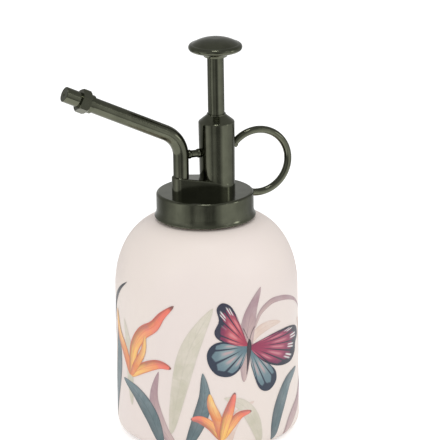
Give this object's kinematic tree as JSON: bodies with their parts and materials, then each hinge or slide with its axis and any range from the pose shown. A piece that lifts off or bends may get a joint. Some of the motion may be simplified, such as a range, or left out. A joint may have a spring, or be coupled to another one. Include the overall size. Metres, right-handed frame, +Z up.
{
  "type": "hand mister",
  "caption": "Hand pump mister: domed glass bottle with a screw collar, top plunger, goose-neck spout, spray nozzle and finger ring.",
  "frame": {"origin": "centre of the bottle's flat base, on the surface it stands on", "axes": "+Z up through the bottle, -X the way the spout points, +X the finger ring's side"},
  "size_m": [0.0982, 0.075, 0.1645],
  "materials": {
    "coated_glass": "glass with an opaque satin cream-pink coat and printed garden plants",
    "dark_plate": "glossy dark gunmetal plating with an olive tint",
    "seal_rubber": "matt black rubber",
    "white_plastic": "moulded off-white plastic",
    "spring_steel": "stainless spring wire and valve balls",
    "brass_insert": "turned brass",
    "clear_tube": "translucent extruded tube"
  },
  "bodies": {
    "bottle": {"bottle": "coated_glass"},
    "gasket": {"neck_gasket": "seal_rubber"},
    "head": {"collar_shell": "dark_plate", "threaded_liner": "white_plastic", "pump_housing": "dark_plate", "barrel_cap": "dark_plate", "guide_bush": "white_plastic", "rod_seal": "seal_rubber", "pump_cylinder": "white_plastic", "return_spring": "spring_steel", "inlet_valve_seat": "white_plastic", "dip_tube": "clear_tube", "dip_strainer": "white_plastic", "outlet_cage": "brass_insert", "spout_tube": "dark_plate", "spout_brace": "dark_plate", "finger_ring": "dark_plate", "nozzle_body": "dark_plate", "swirl_insert": "brass_insert"},
    "plunger": {"plunger_rod": "dark_plate", "thumb_knob": "dark_plate", "piston": "white_plastic", "piston_seal": "seal_rubber"},
    "inlet_valve": {"inlet_ball": "spring_steel"},
    "outlet_valve": {"outlet_ball": "spring_steel"},
    "nozzle": {"nozzle_cap": "dark_plate", "nozzle_seal": "seal_rubber"}
  },
  "joints": [
    {"name": "collar_lift", "type": "slide", "parent": "bottle", "child": "gasket", "axis": [0, 0, 1], "range_m": [0, 0.004]},
    {"name": "collar_unscrew", "type": "hinge", "parent": "gasket", "child": "head", "pos_m": [0, 0, 0.095], "axis": [0, 0, 1], "range_deg": [0, 450]},
    {"name": "plunger_press", "type": "slide", "parent": "head", "child": "plunger", "axis": [0, 0, -1], "range_m": [0, 0.022], "stiffness_N_per_m": 200, "springref_m": -0.015, "deforming": ["return_spring"]},
    {"name": "inlet_lift", "type": "slide", "parent": "head", "child": "inlet_valve", "axis": [0, 0, 1], "range_m": [0, 0.0012]},
    {"name": "outlet_lift", "type": "slide", "parent": "head", "child": "outlet_valve", "axis": [0, 0, 1], "range_m": [0, 0.0006]},
    {"name": "nozzle_twist", "type": "hinge", "parent": "head", "child": "nozzle", "pos_m": [-0.05051, 0, 0.1438], "axis": [-0.898, 0, 0.4399], "range_deg": [0, 180]}
  ],
  "couplings": [
    {"joint": "collar_lift", "follows": "collar_unscrew", "m_per_rad": 0.0005093}
  ]
}
